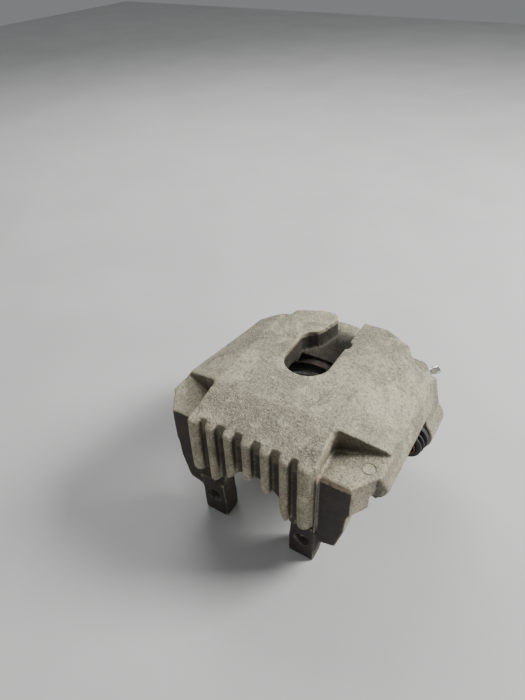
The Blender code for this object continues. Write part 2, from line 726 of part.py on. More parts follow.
def make_guide(side, sign, parts, materials):
    """A bush in its ear, the sleeve inside it, and the pin that slides in the sleeve."""
    centre = (sign * GUIDE_X, 0, GUIDE_Z)
    bush_bore = SLEEVE_RADIUS + GAP
    waist = BUSH_RADIUS - 1.2 * MM
    bush_profile = [
        (BUSH_RADIUS, BUSH_BACK_Y),
        (BUSH_RADIUS, EAR_FRONT_Y - GAP),
        (BUSH_FLANGE_RADIUS, EAR_FRONT_Y - GAP),
        (BUSH_FLANGE_RADIUS, EAR_FRONT_Y - 4 * MM),
        (waist, EAR_FRONT_Y - 5 * MM),
        (waist, EAR_FRONT_Y - 6.5 * MM),
        (BUSH_RADIUS + 0.6 * MM, EAR_FRONT_Y - 8 * MM),
        (BUSH_RADIUS + 0.6 * MM, BUSH_FRONT_Y + 1.5 * MM),
        (waist, BUSH_FRONT_Y),
        (bush_bore, BUSH_FRONT_Y),
        (bush_bore, BUSH_BACK_Y),
    ]
    bush = turned(f"guide_bush_{side}", bush_profile, centre, (0, 1, 0), parts)
    shade(bush, materials["rubber"])
    sleeve_bore = PIN_RADIUS + GAP
    sleeve_profile = [
        (SLEEVE_RADIUS, BUSH_BACK_Y + 1 * MM),
        (SLEEVE_RADIUS, BUSH_FRONT_Y - 1 * MM),
        (sleeve_bore, BUSH_FRONT_Y - 1 * MM),
        (sleeve_bore, BUSH_BACK_Y + 1 * MM),
    ]
    sleeve = turned(f"guide_sleeve_{side}", sleeve_profile, centre, (0, 1, 0), parts)
    shade(sleeve, materials["sleeve"])
    floor = PIN_BACK_Y - PIN_SOCKET_DEPTH
    pin_profile = [
        (0, PIN_BACK_Y),
        (PIN_RADIUS - 1 * MM, PIN_BACK_Y),
        (PIN_RADIUS, PIN_BACK_Y - 1 * MM),
        (PIN_RADIUS, PIN_SHOULDER_Y),
        (PIN_THREAD_RADIUS, PIN_SHOULDER_Y - 2 * MM),
        (PIN_THREAD_RADIUS, PIN_FRONT_Y + 1 * MM),
        (PIN_THREAD_RADIUS - 1 * MM, PIN_FRONT_Y),
        (0, PIN_FRONT_Y),
    ]
    pin = turned(f"guide_pin_{side}", pin_profile, centre, (0, 1, 0), parts)
    start = (centre[0], floor, GUIDE_Z)
    end = (centre[0], PIN_BACK_Y + OVERSHOOT, GUIDE_Z)
    socket = rod(f"pin_socket_{side}", start, end, PIN_SOCKET_RADIUS, materials["tools"], 6)
    boolean(pin, socket, "DIFFERENCE")
    shade(pin, materials["steel"])


def make_bleed_screw(parts, tools, material):
    """The bleed screw in its own frame, with z out of the seat, cut hexagonal between its collars."""
    hex_low, hex_high, tip = 2 * MM, 8 * MM, 17 * MM
    profile = [
        (0, tip),
        (BLEED_TIP_RADIUS - 0.6 * MM, tip),
        (BLEED_TIP_RADIUS, tip - 1 * MM),
        (BLEED_TIP_RADIUS, tip - 3 * MM),
        (BLEED_TIP_RADIUS - 0.9 * MM, tip - 3.8 * MM),
        (BLEED_TIP_RADIUS - 0.9 * MM, hex_high),
        (BLEED_SHANK_RADIUS, hex_high),
        (BLEED_SHANK_RADIUS, -BLEED_HOLE_DEPTH + 3 * MM),
        (0, -BLEED_HOLE_DEPTH + 0.6 * MM),
    ]
    screw = turned("bleed_screw", profile, BLEED_SEAT, BLEED_DIRECTION, parts)
    low = BLEED_SEAT + hex_low * BLEED_DIRECTION
    high = BLEED_SEAT + hex_high * BLEED_DIRECTION
    boolean(screw, rod("bleed_hex", low, high, BLEED_HEX_RADIUS, tools, 6), "UNION")
    mouth = BLEED_SEAT + (tip + OVERSHOOT) * BLEED_DIRECTION
    passage = rod("bleed_passage", low, mouth, 1.2 * MM, tools, 12)
    boolean(screw, passage, "DIFFERENCE")
    shade(screw, material)


def main():
    clear_scene()
    parts = new_collection("brake_caliper")
    tools = new_collection("cutters", hidden=True)
    iron = new_material("weathered_iron", (0.42, 0.37, 0.31), 0.75, 0.2)
    steel = new_material("bright_steel", (0.72, 0.71, 0.68), 0.3, 1.0)
    dull_steel = new_material("piston_steel", (0.5, 0.5, 0.5), 0.35, 1.0)
    rubber = new_material("black_rubber", (0.02, 0.02, 0.022), 0.7, 0.0)
    sleeve = new_material("rusty_sleeve", (0.3, 0.16, 0.1), 0.6, 0.6)
    materials = {"rubber": rubber, "sleeve": sleeve, "steel": steel, "tools": tools}
    make_housing(parts, tools, iron)
    make_piston(parts, dull_steel)
    make_seal(parts, rubber)
    make_boot(parts, rubber)
    make_boot_ring(parts, dull_steel)
    make_guide("right", 1, parts, materials)
    make_guide("left", -1, parts, materials)
    make_bleed_screw(parts, tools, steel)


main()
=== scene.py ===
"""A weathered floating brake caliper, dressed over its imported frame.

The caliper's own frame is kept: +X along the disc's edge, +Y inboard along the piston, +Z up.
"""

import json
import math

import bpy
import numpy as np
from mathutils import Matrix, Vector

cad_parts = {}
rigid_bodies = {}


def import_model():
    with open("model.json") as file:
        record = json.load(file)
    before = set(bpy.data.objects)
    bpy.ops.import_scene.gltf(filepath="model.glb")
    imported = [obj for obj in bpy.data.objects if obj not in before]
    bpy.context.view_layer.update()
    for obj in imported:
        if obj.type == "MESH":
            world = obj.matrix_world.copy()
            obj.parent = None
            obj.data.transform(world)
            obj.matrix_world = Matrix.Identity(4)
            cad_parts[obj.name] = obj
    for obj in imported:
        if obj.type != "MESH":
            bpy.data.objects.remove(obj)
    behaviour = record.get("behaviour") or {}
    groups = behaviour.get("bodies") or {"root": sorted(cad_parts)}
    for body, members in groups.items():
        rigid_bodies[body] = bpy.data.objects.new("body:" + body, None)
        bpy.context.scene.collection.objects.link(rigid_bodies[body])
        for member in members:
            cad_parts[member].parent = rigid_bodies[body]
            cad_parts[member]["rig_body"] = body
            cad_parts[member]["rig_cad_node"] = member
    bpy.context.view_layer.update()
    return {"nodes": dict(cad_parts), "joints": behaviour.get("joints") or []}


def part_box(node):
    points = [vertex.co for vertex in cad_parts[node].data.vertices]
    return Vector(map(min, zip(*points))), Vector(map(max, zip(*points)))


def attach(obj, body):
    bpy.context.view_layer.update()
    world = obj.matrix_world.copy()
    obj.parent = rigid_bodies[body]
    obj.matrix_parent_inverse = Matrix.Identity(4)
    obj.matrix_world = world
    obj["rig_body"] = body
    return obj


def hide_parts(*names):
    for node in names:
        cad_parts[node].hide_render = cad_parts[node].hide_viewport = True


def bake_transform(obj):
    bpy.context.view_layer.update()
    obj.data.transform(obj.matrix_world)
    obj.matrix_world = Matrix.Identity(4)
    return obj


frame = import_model()

bl_info = {
    "name": "Floating brake caliper",
    "version": (1, 0, 0),
    "blender": (4, 5, 0),
    "location": "View3D > Sidebar > Caliper",
    "description": "Builds the castings, rubbers and fasteners of a single-piston brake caliper",
    "category": "Add Mesh",
}

MM = 0.001
INBOARD = Vector((0, 1, 0))

PISTON_LOW, PISTON_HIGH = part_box("piston")
PISTON_RADIUS = (PISTON_HIGH.x - PISTON_LOW.x) / 2
PISTON_CENTRE = (PISTON_LOW + PISTON_HIGH) / 2
BORE_AXIS = Vector((PISTON_CENTRE.x, 0, PISTON_CENTRE.z))
BOOT_LOW, BOOT_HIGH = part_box("dust_boot")
RING_LOW, RING_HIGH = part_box("boot_retaining_ring")
SEAL_LOW, SEAL_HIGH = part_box("piston_seal")
HOUSING_LOW, HOUSING_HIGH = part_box("caliper_housing")
MOUTH_Y = RING_LOW.y
BLEED_JOINT = next(j for j in frame["joints"] if j["name"] == "bleed_screw_turn")
BLEED_SEAT = Vector(BLEED_JOINT["pos_m"])
BLEED_WAY = Vector(BLEED_JOINT["axis"]).normalized()

# Closer points than this are one point.
SAME_PLACE = 1e-6
# The room between a bore and what sits in it.
BORE_ROOM = 0.3 * MM
BORE_END_Y = 61.5 * MM
# A face this near to a cut's own surface belongs to the cut.
CUT_NEAR = 0.05 * MM
SEAL_GROOVE_HALF = 1.6 * MM
PORT_Z, PORT_RADIUS, PORT_SEAT_RADIUS = 15 * MM, 4.6 * MM, 7.4 * MM
PORT_END_Y, PORT_SEAT_Y = 57.5 * MM, 71 * MM
GUIDE_RADIUS, GUIDE_SEAT_RADIUS = 10.8 * MM, 12.9 * MM
EAR_FRONT_Y, EAR_BACK_Y = 27.8 * MM, 54.1 * MM
LUG_HOLE_X, LUG_HOLE_Z, LUG_HOLE_RADIUS = 34.3 * MM, 18 * MM, 5.2 * MM
PAD_SEAT_Y = -52.65 * MM
SPOT_FACE_X, SPOT_FACE_Y, SPOT_FACE_Z, SPOT_FACE_RADIUS = 64.5 * MM, 54 * MM, 90.6 * MM, 13.6 * MM
NOTCH_X, NOTCH_Y, NOTCH_Z = 15.8 * MM, 29 * MM, 96 * MM
ABOVE, BEHIND = 120 * MM, 80 * MM
# The ribs that end higher than the others: x, and the height of the end, in millimetres.
SHORT_RIBS = ((-39.7, 50), (-27, 46.5), (36.5, 40))
# How far back a short rib is taken off above each height, in millimetres.
RIB_BACKS = ((-66.7, 20), (-64.45, 34))
HOUSING_TRIANGLES = 150000

# The camera's lens in millimetres on a 36 mm wide sensor, its place and its three axes.
CAMERA_LENS = 37.714
CAMERA_PLACE = Vector((0.122837, -0.242965, 0.334745))
CAMERA_RIGHT = (0.853459, 0.520410, -0.027937)
CAMERA_UP = (-0.309455, 0.549172, 0.776304)
CAMERA_BACK = (0.419338, -0.653899, 0.629739)


def start_clear():
    """Leaves nothing selected, ready for a new object."""
    if bpy.context.mode != "OBJECT":
        bpy.ops.object.mode_set(mode="OBJECT")
    bpy.ops.object.select_all(action="DESELECT")


def select_only(piece):
    start_clear()
    piece.select_set(True)
    bpy.context.view_layer.objects.active = piece


def open_for_edit(piece):
    """Selects one piece alone and opens its mesh."""
    select_only(piece)
    bpy.ops.object.mode_set(mode="EDIT")


def close_edit():
    bpy.ops.object.mode_set(mode="OBJECT")


def join_points():
    """In an open mesh, makes one point of those that lie together."""
    bpy.ops.mesh.select_all(action="SELECT")
    bpy.ops.mesh.remove_doubles(threshold=SAME_PLACE)


def named(name):
    """The object that an operator has just added, under its own name."""
    piece = bpy.context.active_object
    piece.name = name
    piece.data.name = name
    return piece


def settle(piece):
    """Puts the piece's place, turn and size into its mesh."""
    select_only(piece)
    bpy.ops.object.transform_apply(location=True, rotation=True, scale=True)


def apply_modifiers(piece):
    select_only(piece)
    for modifier in list(piece.modifiers):
        bpy.ops.object.modifier_apply(modifier=modifier.name)


def boolean(piece, tool, operation, solver="EXACT"):
    """Joins or cuts with a tool, which is then thrown away."""
    modifier = piece.modifiers.new(operation.title(), "BOOLEAN")
    modifier.operation = operation
    modifier.object = tool
    modifier.solver = solver
    apply_modifiers(piece)
    bpy.data.objects.remove(tool, do_unlink=True)


def smooth_shade(piece, angle=35):
    select_only(piece)
    bpy.ops.object.shade_smooth_by_angle(angle=math.radians(angle))


def turn_towards(direction):
    return Vector((0, 0, 1)).rotation_difference(Vector(direction)).to_euler()


def turned(name, profile, place, direction, steps=72, round_over=0.0, closed=False):
    """A profile of (radius, height) points, drawn point by point and spun about a direction."""
    start_clear()
    radius, height = profile[0]
    bpy.ops.mesh.primitive_plane_add(size=MM, location=(radius, 0, height))
    piece = named(name)
    settle(piece)
    open_for_edit(piece)
    bpy.ops.mesh.merge(type="CENTER")
    for before, after in zip(profile, profile[1:]):
        step = (after[0] - before[0], 0, after[1] - before[1])
        bpy.ops.mesh.extrude_vertices_move(TRANSFORM_OT_translate={"value": step})
    if closed:
        bpy.ops.mesh.select_all(action="DESELECT")
        close_edit()
        for end in (0, len(profile) - 1):
            piece.data.vertices[end].select = True
        open_for_edit(piece)
        bpy.ops.mesh.edge_face_add()
    if round_over:
        close_edit()
        for vertex in piece.data.vertices:
            vertex.select = vertex.co.x > SAME_PLACE
        open_for_edit(piece)
        bpy.ops.mesh.bevel(offset=round_over, segments=3, affect="VERTICES", clamp_overlap=True)
    bpy.ops.mesh.select_all(action="SELECT")
    bpy.ops.mesh.spin(steps=steps, angle=math.tau, center=(0, 0, 0), axis=(0, 0, 1))
    join_points()
    bpy.ops.mesh.normals_make_consistent(inside=False)
    close_edit()
    piece.rotation_euler = turn_towards(direction)
    piece.location = place
    settle(piece)
    return piece


def rod(name, start, end, radius, vertices=48):
    """A round or many-sided bar between two points, used as a tool."""
    start, end = Vector(start), Vector(end)
    start_clear()
    bpy.ops.mesh.primitive_cylinder_add(
        vertices=vertices,
        radius=radius,
        depth=(end - start).length,
        location=(start + end) / 2,
        rotation=turn_towards(end - start),
    )
    piece = named(name)
    settle(piece)
    return piece


def block(name, low, high):
    low, high = Vector(low), Vector(high)
    start_clear()
    bpy.ops.mesh.primitive_cube_add(size=1, location=(low + high) / 2, scale=high - low)
    piece = named(name)
    settle(piece)
    return piece


def points_of(piece):
    """The piece's vertices as an array of rows."""
    places = np.empty(len(piece.data.vertices) * 3)
    piece.data.vertices.foreach_get("co", places)
    return places.reshape(-1, 3)


def move_points(piece, places):
    piece.data.vertices.foreach_set("co", places.ravel())
    piece.data.update()


def face_middles(piece):
    middles = np.empty(len(piece.data.polygons) * 3)
    piece.data.polygons.foreach_get("center", middles)
    return middles.reshape(-1, 3)


def face_normals(piece):
    normals = np.empty(len(piece.data.polygons) * 3)
    piece.data.polygons.foreach_get("normal", normals)
    return normals.reshape(-1, 3)


def cut_thread(piece, centre, direction, low, high, radius, pitch, depth):
    """Moves the skin of a finely stepped shank in and out along a helix."""
    direction = Vector(direction).normalized()
    side = direction.orthogonal().normalized()
    other = direction.cross(side)
    basis = np.array([side, other, direction])
    local = (points_of(piece) - np.array(centre)) @ basis.T
    reach = np.hypot(local[:, 0], local[:, 1])
    on_shank = (np.abs(reach - radius) < CUT_NEAR) & (local[:, 2] > low) & (local[:, 2] < high)
    turns = local[:, 2] / pitch - np.arctan2(local[:, 1], local[:, 0]) / math.tau
    tooth = np.abs((turns % 1) * 2 - 1)
    fade = np.clip(np.minimum(local[:, 2] - low, high - local[:, 2]) / pitch, 0, 1)
    shrink = 1 - on_shank * fade * depth * (1 - tooth) / np.maximum(reach, 1e-9)
    local[:, :2] *= shrink[:, None]
    move_points(piece, local @ basis + np.array(centre))


def stepped(start, end, count):
    """Profile points in even steps along a straight line, without the last."""
    return [
        (start[0] + (end[0] - start[0]) * i / count, start[1] + (end[1] - start[1]) * i / count)
        for i in range(count)
    ]


def give(piece, *materials):
    piece.data.materials.clear()
    for material in materials:
        piece.data.materials.append(material)


def fit_to_frame(piece, body, nodes):
    """Hands the finished piece to the frame: sets it on the body that it rides on, and hides the
    nodes that it stands for.
    """
    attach(piece, body)
    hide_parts(*nodes)


class Finish:
    """A procedural material, put together step by step on one shader."""

    def __init__(self, name, roughness, metallic):
        self.material = bpy.data.materials.new(name)
        self.material.use_nodes = True
        self.tree = self.material.node_tree
        self.shader = self.tree.nodes["Principled BSDF"]
        self.shader.inputs["Roughness"].default_value = roughness
        self.shader.inputs["Metallic"].default_value = metallic
        self.place = self.tree.nodes.new("ShaderNodeTexCoord").outputs["Object"]

    def node(self, kind, **settings):
        node = self.tree.nodes.new(kind)
        for key, value in settings.items():
            setattr(node, key, value)
        return node

    def link(self, source, socket):
        self.tree.links.new(source, socket)

    def noise(
        self, size, detail=4.0, roughness=0.55, distortion=0.0, stretch=(1, 1, 1), shift=(0, 0, 0)
    ):
        """Fractal noise whose blotches are about the given size."""
        node = self.node("ShaderNodeTexNoise")
        node.inputs["Scale"].default_value = 1 / size
        node.inputs["Detail"].default_value = detail
        node.inputs["Roughness"].default_value = roughness
        node.inputs["Distortion"].default_value = distortion
        mapping = self.node("ShaderNodeMapping")
        mapping.inputs["Location"].default_value = shift
        mapping.inputs["Scale"].default_value = stretch
        self.link(self.place, mapping.inputs["Vector"])
        self.link(mapping.outputs["Vector"], node.inputs["Vector"])
        return node.outputs["Fac"]

    def pits(self, size, shift=(0, 0, 0)):
        node = self.node("ShaderNodeTexVoronoi")
        node.inputs["Scale"].default_value = 1 / size
        mapping = self.node("ShaderNodeMapping")
        mapping.inputs["Location"].default_value = shift
        self.link(self.place, mapping.inputs["Vector"])
        self.link(mapping.outputs["Vector"], node.inputs["Vector"])
        return node.outputs["Distance"]

    def ramp(self, source, low, high):
        """0 below low, 1 above high, and a smooth rise between."""
        node = self.node("ShaderNodeMapRange", interpolation_type="SMOOTHSTEP")
        node.inputs["From Min"].default_value = low
        node.inputs["From Max"].default_value = high
        self.link(source, node.inputs["Value"])
        return node.outputs["Result"]

    def ramp_down(self, axis, low, high):
        """A fall from 1 to 0 along one axis, between two places."""
        return self.maths("SUBTRACT", 1.0, self.along(axis, low, high))

    def part(self, source, share):
        """A share of a mask."""
        return self.maths("MULTIPLY", source, share)

    def maths(self, operation, first, second):
        node = self.node("ShaderNodeMath", operation=operation)
        for socket, value in zip(node.inputs, (first, second)):
            if isinstance(value, (int, float)):
                socket.default_value = value
            else:
                self.link(value, socket)
        return node.outputs["Value"]

    def mix(self, factor, under, over, blend="MIX"):
        """Colour over colour, by a factor that is a number or a socket."""
        node = self.node("ShaderNodeMix", data_type="RGBA", blend_type=blend)
        factor_in, under_in, over_in = (node.inputs[i] for i in (0, 6, 7))
        for socket, value in ((factor_in, factor), (under_in, under), (over_in, over)):
            if isinstance(value, bpy.types.NodeSocket):
                self.link(value, socket)
            elif isinstance(value, (int, float)):
                socket.default_value = value
            else:
                socket.default_value = (*value, 1)
        return node.outputs[2]

    def edges(self, low, high):
        """1 on outside edges, from the curve of the surface."""
        return self.ramp(self.node("ShaderNodeNewGeometry").outputs["Pointiness"], low, high)

    def facing(self, direction, low, high):
        """1 where the surface faces a direction of the caliper's own frame."""
        normal = self.node("ShaderNodeTexCoord").outputs["Normal"]
        dot = self.node("ShaderNodeVectorMath", operation="DOT_PRODUCT")
        dot.inputs[1].default_value = direction
        self.link(normal, dot.inputs[0])
        return self.ramp(dot.outputs["Value"], low, high)

    def along(self, axis, low, high):
        """A rise from 0 to 1 along one axis, between two places."""
        parts = self.node("ShaderNodeSeparateXYZ")
        self.link(self.place, parts.inputs["Vector"])
        return self.ramp(parts.outputs["XYZ".index(axis)], low, high)

    def zone(self, low, high, soft):
        """1 inside a box given in millimetres, with soft sides."""
        mask = None
        for axis, start, end in zip("XYZ", low, high):
            for edge, sign in ((start, 1), (end, -1)):
                side = self.along(axis, (edge - sign * soft) * MM, (edge + sign * soft) * MM)
                mask = side if mask is None else self.maths("MULTIPLY", mask, side)
        return mask

    def occlusion_shade(self, distance, low, high):
        """1 deep in corners and gaps, from ambient occlusion: painted shade there, with some
        soiling.
        """
        node = self.node("ShaderNodeAmbientOcclusion", samples=8, only_local=True)
        node.inputs["Distance"].default_value = distance
        return self.maths("SUBTRACT", 1.0, self.ramp(node.outputs["AO"], low, high))

    def colour(self, source):
        self.link(source, self.shader.inputs["Base Color"])

    def roughness(self, factor, low, high):
        node = self.node("ShaderNodeMapRange")
        node.inputs["To Min"].default_value = low
        node.inputs["To Max"].default_value = high
        self.link(factor, node.inputs["Value"])
        self.link(node.outputs["Result"], self.shader.inputs["Roughness"])

    def bump(self, *heights):
        """Stacks bumps of (height, depth in metres), the coarsest first."""
        normal = None
        for height, depth in heights:
            node = self.node("ShaderNodeBump")
            node.inputs["Distance"].default_value = depth
            node.inputs["Strength"].default_value = 1.0
            self.link(height, node.inputs["Height"])
            if normal is not None:
                self.link(normal, node.inputs["Normal"])
            normal = node.outputs["Normal"]
        self.link(normal, self.shader.inputs["Normal"])


def weathered_iron(colours):
    finish = Finish("weathered_iron", 0.7, 0.25)
    broad = finish.noise(38 * MM, 5, 0.6)
    mottle = finish.noise(9 * MM, 6, 0.65, 0.4)
    grain = finish.noise(2.2 * MM, 5, 0.7)
    sand = finish.noise(0.9 * MM, 4, 0.65, shift=(3, 1, 2))
    skin = finish.mix(finish.ramp(broad, 0.4, 0.62), colours.iron_grey, colours.iron_pale)
    stain = finish.noise(17 * MM, 5, 0.6, 0.6, shift=(5, 2, 7))
    skin = finish.mix(finish.part(finish.ramp(stain, 0.48, 0.7), 0.6), skin, colours.iron_dull)
    skin = finish.mix(finish.part(finish.ramp(mottle, 0.5, 0.7), 0.5), skin, colours.iron_light)
    skin = finish.mix(finish.part(finish.ramp(grain, 0.54, 0.36), 0.55), skin, colours.iron_dull)
    skin = finish.mix(finish.part(finish.ramp(sand, 0.52, 0.68), 0.75), skin, colours.iron_light)
    skin = finish.mix(finish.part(finish.ramp(sand, 0.46, 0.32), 0.5), skin, colours.iron_dull)
    patches = finish.noise(11 * MM, 6, 0.7, 1.0, shift=(1, 9, 4))
    rust = finish.mix(finish.ramp(grain, 0.4, 0.6), colours.rust_dark, colours.rust)
    sides = finish.facing((0, 0, 1), 0.75, 0.25)
    worn = finish.maths("MULTIPLY", sides, finish.ramp(patches, 0.5, 0.66))
    skin = finish.mix(finish.part(worn, 0.4), skin, rust)
    # Faces that look to the front and sit back from the front edge are darkened brown: partly
    # soiling and rust, partly painted shade where the ribs and shoulders shade them.
    outward = finish.facing((0, -1, 0), 0.45, 0.85)
    front = finish.maths("MULTIPLY", outward, finish.along("Y", -70.5 * MM, -66.5 * MM))
    skin = finish.mix(finish.part(front, 0.62), skin, colours.brown_grime_and_shade)
    # Darker towards the bottom and on faces that look down: painted shade under the casting, with
    # some soiling.
    low_down = finish.ramp_down("Z", 26 * MM, 60 * MM)
    under = finish.facing((0, 0, -1), 0.1, 0.7)
    grime_and_shade = finish.maths("MAXIMUM", finish.part(low_down, 0.7), under)
    # The outboard front faces of the fingers and lugs, below the shoulders, are darkened: painted
    # shade, with some soiling.
    outboard = finish.maths("MULTIPLY", front, finish.ramp_down("Y", -44 * MM, -38 * MM))
    finger = finish.maths("MULTIPLY", outboard, finish.ramp_down("Z", 83 * MM, 88 * MM))
    # The valley between the lobes and the window over the piston are darkened: painted shade deep
    # in these hollows.
    valley = finish.zone((-17, 18, 82), (16.5, 90, 101), 2)
    valley = finish.maths("MULTIPLY", valley, finish.ramp_down("Y", 46 * MM, 76 * MM))
    window = finish.zone((-19, -16, 60), (16.5, 24, 101), 2)
    inside = finish.maths("MAXIMUM", finish.part(valley, 0.85), finish.part(window, 0.8))
    grime_and_shade = finish.maths("MAXIMUM", grime_and_shade, finish.maths("MAXIMUM", finger, inside))
    # Ambient occlusion darkens corners and gaps: painted shade.
    grime_and_shade = finish.maths("MAXIMUM", grime_and_shade, finish.occlusion_shade(18 * MM, 0.3, 0.88))
    # All these masks, roughened by the mottle, lay a dark brown-black over the skin: mostly
    # painted shade, with some soiling.
    ragged = finish.ramp(finish.maths("ADD", grime_and_shade, finish.part(mottle, 0.5)), 0.5, 1.0)
    dirt_and_shade = finish.mix(finish.ramp(patches, 0.45, 0.7), colours.grime_and_shade, colours.brown_grime_and_shade)
    skin = finish.mix(finish.part(ragged, 0.9), skin, dirt_and_shade)
    chipped = finish.zone((42, -70, 80.5), (66, -61.5, 90), 2.5)
    chips = finish.ramp(finish.maths("ADD", chipped, finish.part(grain, 1.2)), 1.25, 1.55)
    skin = finish.mix(finish.part(chips, 0.8), skin, finish.mix(0.35, rust, colours.iron_light))
    # Outside edges are lightened: partly worn metal, partly painted highlight along the crests and
    # creases.
    rim = finish.edges(0.515, 0.57)
    skin = finish.mix(finish.part(rim, 0.6), skin, colours.iron_light)
    finish.colour(skin)
    finish.roughness(mottle, 0.42, 0.8)
    pits = finish.ramp(finish.pits(3.1 * MM), 0.05, 0.3)
    finish.bump((mottle, 1.3 * MM), (pits, 0.15 * MM), (grain, 0.75 * MM), (sand, 0.3 * MM))
    return finish.material


def machined_iron(colours):
    finish = Finish("machined_iron", 0.4, 0.75)
    rings = finish.node("ShaderNodeTexWave", wave_type="BANDS", bands_direction="Y")
    rings.inputs["Scale"].default_value = 900
    rings.inputs["Distortion"].default_value = 1.5
    finish.link(finish.place, rings.inputs["Vector"])
    film = finish.noise(8 * MM, 5, 0.65)
    skin = finish.mix(finish.ramp(film, 0.35, 0.6), colours.machined, colours.machined_dark)
    spots = finish.ramp(finish.noise(3 * MM, 6, 0.7, shift=(2, 4, 6)), 0.55, 0.66)
    skin = finish.mix(finish.maths("MULTIPLY", spots, 0.7), skin, colours.rust_dark)
    finish.colour(skin)
    finish.roughness(film, 0.3, 0.65)
    finish.bump((rings.outputs["Fac"], 0.015 * MM), (spots, 0.05 * MM))
    return finish.material


def steel(name, tint, dark, roughness, brushed, rust_colour, rust_share):
    """Turned or plated steel with fine lathe marks, a dulled film and a few rust spots."""
    finish = Finish(name, roughness, 0.9)
    lathe = finish.noise(1.2 * MM, 2, 0.5, stretch=brushed)
    film = finish.noise(5 * MM, 5, 0.6)
    skin = finish.mix(finish.ramp(film, 0.4, 0.68), tint, dark)
    spots = finish.noise(2.2 * MM, 6, 0.7, 0.5, shift=(4, 4, 1))
    rust = finish.ramp(spots, 0.62 - rust_share, 0.72 - rust_share)
    skin = finish.mix(finish.maths("MULTIPLY", rust, 0.75), skin, rust_colour)
    rim = finish.edges(0.51, 0.56)
    skin = finish.mix(finish.maths("MULTIPLY", rim, 0.4), skin, tint)
    finish.colour(skin)
    finish.roughness(film, roughness, roughness + 0.25)
    finish.bump((lathe, 0.012 * MM), (rust, 0.03 * MM))
    return finish.material


def black_rubber(colours):
    finish = Finish("black_rubber", 0.6, 0.0)
    dust = finish.noise(4 * MM, 6, 0.65)
    fine = finish.noise(0.5 * MM, 3, 0.6)
    skin = finish.mix(finish.ramp(dust, 0.48, 0.72), colours.rubber, colours.rubber_dust)
    rim = finish.edges(0.505, 0.54)
    skin = finish.mix(finish.maths("MULTIPLY", rim, 0.35), skin, colours.rubber_dust)
    finish.colour(skin)
    finish.roughness(dust, 0.5, 0.85)
    finish.bump((dust, 0.06 * MM), (fine, 0.02 * MM))
    return finish.material


def colour_prop(name, description, default):
    return bpy.props.FloatVectorProperty(
        name=name, description=description, default=default, size=3, min=0, max=1, subtype="COLOR"
    )


def length_prop(name, description, default):
    return bpy.props.FloatProperty(
        name=name, description=description, default=default, min=0, precision=5, unit="LENGTH"
    )


class CaliperSizes(bpy.types.PropertyGroup):
    """Sizes that a user would change."""

    cast_grain: length_prop("Cast grain", "Edge of one cell of the cast skin", 0.85 * MM)
    skin_roughness: length_prop("Skin roughness", "How deep the cast skin's waves are", 0.28 * MM)
    thread_pitch: length_prop("Thread pitch", "Pitch of the guide pins' threads", 1.25 * MM)
    boot_fold: length_prop("Boot fold", "How deep a fold of the dust boot is", 0.9 * MM)
    fillet: bpy.props.IntProperty(
        name="Fillet",
        description="Passes that round the casting's edges",
        default=9,
        min=0,
        max=60,
    )


class CaliperColours(bpy.types.PropertyGroup):
    """Colours of the finishes."""

    iron_pale: colour_prop("Pale iron", "Dusty cast iron", (0.46, 0.42, 0.295))
    iron_grey: colour_prop("Grey iron", "Weathered cast iron", (0.29, 0.268, 0.19))
    # Light iron also lightens the outside edges, partly as wear and partly as painted highlight.
    iron_light: colour_prop("Light iron", "Worn and dusty spots", (0.72, 0.665, 0.49))
    iron_dull: colour_prop("Dull iron", "Stained patches", (0.125, 0.117, 0.084))
    rust: colour_prop("Rust", "Bright rust", (0.30, 0.15, 0.07))
    rust_dark: colour_prop("Dark rust", "Old rust", (0.10, 0.05, 0.028))
    # These two dark colours paint soiling and also painted shade in corners, hollows, under the
    # casting and on faces that look to the front.
    grime_and_shade: colour_prop("Grime", "Oily dirt", (0.018, 0.016, 0.014))
    brown_grime_and_shade: colour_prop("Brown grime", "Dirt over rust", (0.045, 0.032, 0.024))
    machined: colour_prop("Machined iron", "Cut faces", (0.36, 0.35, 0.33))
    machined_dark: colour_prop("Stained machined iron", "Stained cut faces", (0.14, 0.13, 0.12))
    piston: colour_prop("Piston steel", "Ground steel", (0.42, 0.42, 0.41))
    piston_dark: colour_prop("Stained piston steel", "Dulled ground steel", (0.10, 0.098, 0.095))
    zinc: colour_prop("Zinc", "Plated steel", (0.86, 0.85, 0.80))
    zinc_dull: colour_prop("Dull zinc", "Dulled plating", (0.52, 0.51, 0.47))
    rubber: colour_prop("Rubber", "Black rubber", (0.012, 0.012, 0.013))
    rubber_dust: colour_prop("Dusty rubber", "Dust on rubber", (0.06, 0.055, 0.048))
    floor: colour_prop("Floor", "The studio floor", (0.60, 0.60, 0.59))


def sizes():
    return bpy.context.scene.caliper_sizes


def colours():
    return bpy.context.scene.caliper_colours


def merged_copy(node, name):
    """A copy of a frame node with its loose triangles joined up."""
    select_only(frame["nodes"][node])
    bpy.ops.object.duplicate(linked=False)
    piece = named(name)
    bpy.ops.object.parent_clear(type="CLEAR_KEEP_TRANSFORM")
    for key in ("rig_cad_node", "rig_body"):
        if key in piece:
            del piece[key]
    open_for_edit(piece)
    join_points()
    close_edit()
    return piece


def roughen(piece, size, depth):
    """Waves the skin in, never out past its frame."""
    texture = bpy.data.textures.new("cast_skin", "CLOUDS")
    texture.noise_scale = size
    texture.noise_depth = 3
    modifier = piece.modifiers.new("Cast skin", "DISPLACE")
    modifier.texture = texture
    modifier.texture_coords = "LOCAL"
    modifier.strength = depth
    modifier.mid_level = 0.8


